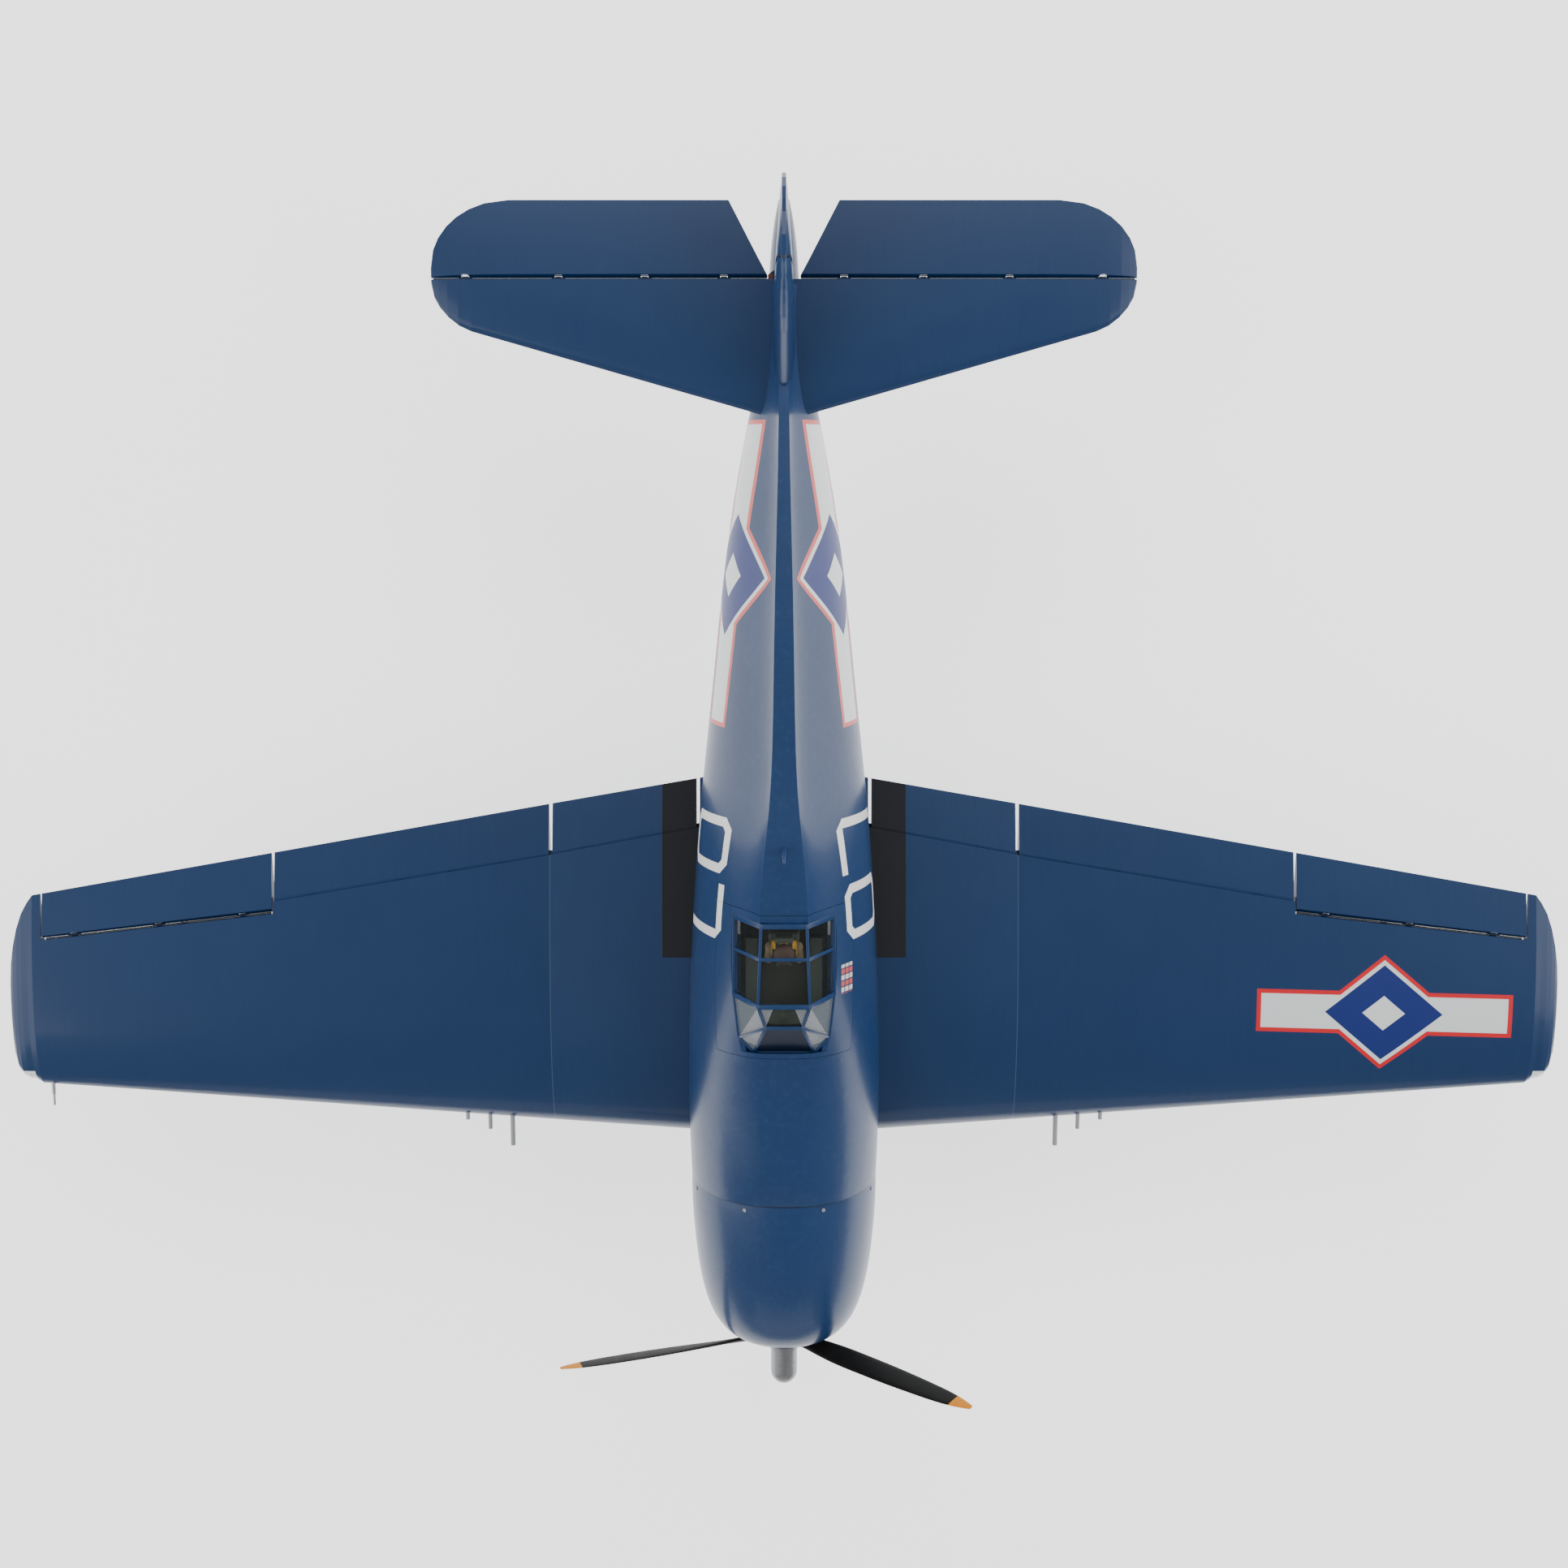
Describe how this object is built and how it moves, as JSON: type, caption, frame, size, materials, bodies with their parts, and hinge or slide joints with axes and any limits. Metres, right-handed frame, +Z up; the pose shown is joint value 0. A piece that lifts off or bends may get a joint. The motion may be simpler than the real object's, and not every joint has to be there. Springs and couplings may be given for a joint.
{
  "type": "rc warbird plane",
  "caption": "Radio-controlled scale naval fighter with a radial engine cowl, low mid-set wing, retracting main gear, clear canopy and moving control surfaces.",
  "frame": {"origin": "on the ground under the lowered main wheels, at the middle of the overall length and width, in level flight attitude", "axes": "+X towards the left wing tip, +Y aft towards the tail, +Z up"},
  "size_m": [1.626, 1.245, 0.482],
  "materials": {
    "blue_gelcoat": "gloss",
    "blue_film": "gloss",
    "blue_fairing": "gloss",
    "smoked_glass": "gloss",
    "clear_lens": "gloss",
    "gun_metal": "satin",
    "aluminium_tube": "satin",
    "hinge_nylon": "satin",
    "push_rod_red": "satin",
    "push_rod_steel": "satin",
    "servo_case": "matt",
    "servo_hatch_blue": "gloss",
    "servo_arm_nylon": "satin",
    "blade_black": "satin",
    "hub_alloy": "satin",
    "dome_silver": "satin",
    "rotor_steel": "satin",
    "stator_copper": "gloss",
    "plywood": "matt",
    "engine_grey": "satin",
    "battery_wrap": "satin",
    "strap_fabric": "matt",
    "controller_wrap": "satin",
    "receiver_case": "matt",
    "cockpit_green": "matt",
    "pilot_paint": "matt",
    "bearing_alloy": "satin",
    "leg_alloy": "satin",
    "wheel_paint": "satin",
    "tyre_rubber": "matt"
  },
  "bodies": {
    "airframe": {"antenna_mast": "blue_gelcoat", "battery": "battery_wrap", "battery_straps": "strap_fabric", "dummy_engine": "engine_grey", "engine_cowl": "blue_gelcoat", "fin": "blue_film", "fuselage_shell": "blue_gelcoat", "gear_bearing_blocks": "bearing_alloy", "gun_barrels": "gun_metal", "hinges": "hinge_nylon", "left_inner_wing": "blue_film", "left_outer_wing": "blue_film", "left_stabiliser": "blue_film", "motor_box": "plywood", "motor_stator": "stator_copper", "pitot_tube": "aluminium_tube", "plywood_frames": "plywood", "receiver": "receiver_case", "right_inner_wing": "blue_film", "right_outer_wing": "blue_film", "right_stabiliser": "blue_film", "servo_hatches": "servo_hatch_blue", "servos": "servo_case", "speed_controller": "controller_wrap", "wing_joiner_tubes": "aluminium_tube", "wing_tip_lights": "clear_lens"},
    "propeller": {"propeller_blades": "blade_black", "propeller_hub": "hub_alloy", "hub_dome": "dome_silver", "motor_rotor": "rotor_steel"},
    "hatch": {"cockpit_hatch": "blue_gelcoat", "canopy_glass": "smoked_glass", "cockpit_interior": "cockpit_green", "pilot_figure": "pilot_paint"},
    "rudder": {"rudder": "blue_film"},
    "tail_wheel_leg": {"tail_wheel_fork": "leg_alloy"},
    "tail_wheel": {"tail_wheel": "tyre_rubber"},
    "rudder_push_rod": {"rudder_push_rod": "push_rod_red"},
    "left_inner_flap": {"left_inner_flap": "blue_film"},
    "left_outer_flap": {"left_outer_flap": "blue_film"},
    "left_aileron": {"left_aileron": "blue_film"},
    "left_elevator": {"left_elevator": "blue_film"},
    "left_servo_arm": {"left_aileron_servo_arm": "servo_arm_nylon"},
    "left_push_rod": {"left_aileron_push_rod": "push_rod_steel"},
    "left_gear_swing": {"left_gear_trunnion": "bearing_alloy"},
    "left_gear_leg": {"left_gear_leg": "leg_alloy", "left_gear_fairing": "blue_fairing"},
    "left_wheel": {"left_wheel_hub": "wheel_paint", "left_tyre": "tyre_rubber"},
    "right_inner_flap": {"right_inner_flap": "blue_film"},
    "right_outer_flap": {"right_outer_flap": "blue_film"},
    "right_aileron": {"right_aileron": "blue_film"},
    "right_elevator": {"right_elevator": "blue_film"},
    "right_servo_arm": {"right_aileron_servo_arm": "servo_arm_nylon"},
    "right_push_rod": {"right_aileron_push_rod": "push_rod_steel"},
    "right_gear_swing": {"right_gear_trunnion": "bearing_alloy"},
    "right_gear_leg": {"right_gear_leg": "leg_alloy", "right_gear_fairing": "blue_fairing"},
    "right_wheel": {"right_wheel_hub": "wheel_paint", "right_tyre": "tyre_rubber"}
  },
  "joints": [
    {"name": "propeller_spin", "type": "hinge", "parent": "airframe", "child": "propeller", "pos_m": [0, -0.566, 0.27], "axis": [0, -1, 0], "continuous": true},
    {"name": "left_inner_flap_hinge", "type": "hinge", "parent": "airframe", "child": "left_inner_flap", "pos_m": [0.17125, -0.02695, 0.20268], "axis": [-0.9831, 0.1829, -0.0023], "range_deg": [0, 45]},
    {"name": "left_outer_flap_hinge", "type": "hinge", "parent": "airframe", "child": "left_outer_flap", "pos_m": [0.3961, -0.06389, 0.22259], "axis": [-0.9797, 0.149, -0.1341], "range_deg": [0, 45]},
    {"name": "left_aileron_hinge", "type": "hinge", "parent": "airframe", "child": "left_aileron", "pos_m": [0.65955, -0.11192, 0.26461], "axis": [0.9877, -0.0922, 0.1265], "range_deg": [-22, 22]},
    {"name": "left_elevator_hinge", "type": "hinge", "parent": "airframe", "child": "left_elevator", "pos_m": [0.15, 0.538, 0.342], "axis": [1, 0, 0], "range_deg": [-25, 25]},
    {"name": "left_servo_arm_hinge", "type": "hinge", "parent": "airframe", "child": "left_servo_arm", "pos_m": [0.64, -0.19409, 0.2621], "axis": [1, 0, 0], "range_deg": [-22, 22]},
    {"name": "left_push_rod_slide", "type": "slide", "parent": "airframe", "child": "left_push_rod", "axis": [0, 1, 0], "range_m": [-0.0066, 0.0066]},
    {"name": "left_gear_retract", "type": "hinge", "parent": "airframe", "child": "left_gear_swing", "pos_m": [0.195, -0.3, 0.206], "axis": [1, 0, 0], "range_deg": [0, 90]},
    {"name": "left_gear_twist", "type": "hinge", "parent": "left_gear_swing", "child": "left_gear_leg", "pos_m": [0.195, -0.3, 0.206], "axis": [0, 0, 1], "range_deg": [0, 90]},
    {"name": "left_wheel_spin", "type": "hinge", "parent": "left_gear_leg", "child": "left_wheel", "pos_m": [0.195, -0.3, 0.042], "axis": [1, 0, 0], "continuous": true},
    {"name": "right_inner_flap_hinge", "type": "hinge", "parent": "airframe", "child": "right_inner_flap", "pos_m": [-0.17125, -0.02695, 0.20268], "axis": [-0.9831, -0.1829, 0.0023], "range_deg": [0, 45]},
    {"name": "right_outer_flap_hinge", "type": "hinge", "parent": "airframe", "child": "right_outer_flap", "pos_m": [-0.3961, -0.06389, 0.22259], "axis": [-0.9797, -0.149, 0.1341], "range_deg": [0, 45]},
    {"name": "right_aileron_hinge", "type": "hinge", "parent": "airframe", "child": "right_aileron", "pos_m": [-0.65955, -0.11192, 0.26461], "axis": [0.9877, 0.0922, -0.1265], "range_deg": [-22, 22]},
    {"name": "right_elevator_hinge", "type": "hinge", "parent": "airframe", "child": "right_elevator", "pos_m": [-0.15, 0.538, 0.342], "axis": [1, 0, 0], "range_deg": [-25, 25]},
    {"name": "right_servo_arm_hinge", "type": "hinge", "parent": "airframe", "child": "right_servo_arm", "pos_m": [-0.64, -0.19409, 0.2621], "axis": [1, 0, 0], "range_deg": [-22, 22]},
    {"name": "right_push_rod_slide", "type": "slide", "parent": "airframe", "child": "right_push_rod", "axis": [0, 1, 0], "range_m": [-0.0066, 0.0066]},
    {"name": "right_gear_retract", "type": "hinge", "parent": "airframe", "child": "right_gear_swing", "pos_m": [-0.195, -0.3, 0.206], "axis": [1, 0, 0], "range_deg": [0, 90]},
    {"name": "right_gear_twist", "type": "hinge", "parent": "right_gear_swing", "child": "right_gear_leg", "pos_m": [-0.195, -0.3, 0.206], "axis": [0, 0, 1], "range_deg": [-90, 0]},
    {"name": "right_wheel_spin", "type": "hinge", "parent": "right_gear_leg", "child": "right_wheel", "pos_m": [-0.195, -0.3, 0.042], "axis": [1, 0, 0], "continuous": true},
    {"name": "rudder_hinge", "type": "hinge", "parent": "airframe", "child": "rudder", "pos_m": [0, 0.537, 0.4], "axis": [0, 0, 1], "range_deg": [-25, 25]},
    {"name": "tail_wheel_steering", "type": "hinge", "parent": "airframe", "child": "tail_wheel_leg", "pos_m": [0, 0.47, 0.26], "axis": [0, 0, 1], "range_deg": [-25, 25]},
    {"name": "tail_wheel_spin", "type": "hinge", "parent": "tail_wheel_leg", "child": "tail_wheel", "pos_m": [0, 0.483, 0.212], "axis": [1, 0, 0], "continuous": true},
    {"name": "rudder_push_rod_slide", "type": "slide", "parent": "airframe", "child": "rudder_push_rod", "axis": [0, 1, 0], "range_m": [-0.0071, 0.0071]},
    {"name": "hatch_lift", "type": "slide", "parent": "airframe", "child": "hatch", "axis": [0, 0, 1], "range_m": [0, 0.09]}
  ],
  "couplings": [
    {"joint": "left_outer_flap_hinge", "follows": "left_inner_flap_hinge", "ratio": 1},
    {"joint": "right_inner_flap_hinge", "follows": "left_inner_flap_hinge", "ratio": 1},
    {"joint": "right_outer_flap_hinge", "follows": "left_inner_flap_hinge", "ratio": 1},
    {"joint": "right_aileron_hinge", "follows": "left_aileron_hinge", "ratio": -1},
    {"joint": "left_servo_arm_hinge", "follows": "left_aileron_hinge", "ratio": 1},
    {"joint": "left_push_rod_slide", "follows": "left_aileron_hinge", "m_per_rad": 0.017},
    {"joint": "right_servo_arm_hinge", "follows": "left_aileron_hinge", "ratio": -1},
    {"joint": "right_push_rod_slide", "follows": "left_aileron_hinge", "m_per_rad": -0.017},
    {"joint": "right_elevator_hinge", "follows": "left_elevator_hinge", "ratio": 1},
    {"joint": "tail_wheel_steering", "follows": "rudder_hinge", "ratio": 1},
    {"joint": "rudder_push_rod_slide", "follows": "rudder_hinge", "m_per_rad": -0.013},
    {"joint": "right_gear_retract", "follows": "left_gear_retract", "ratio": 1},
    {"joint": "left_gear_twist", "follows": "left_gear_retract", "ratio": 1},
    {"joint": "right_gear_twist", "follows": "left_gear_retract", "ratio": -1}
  ]
}
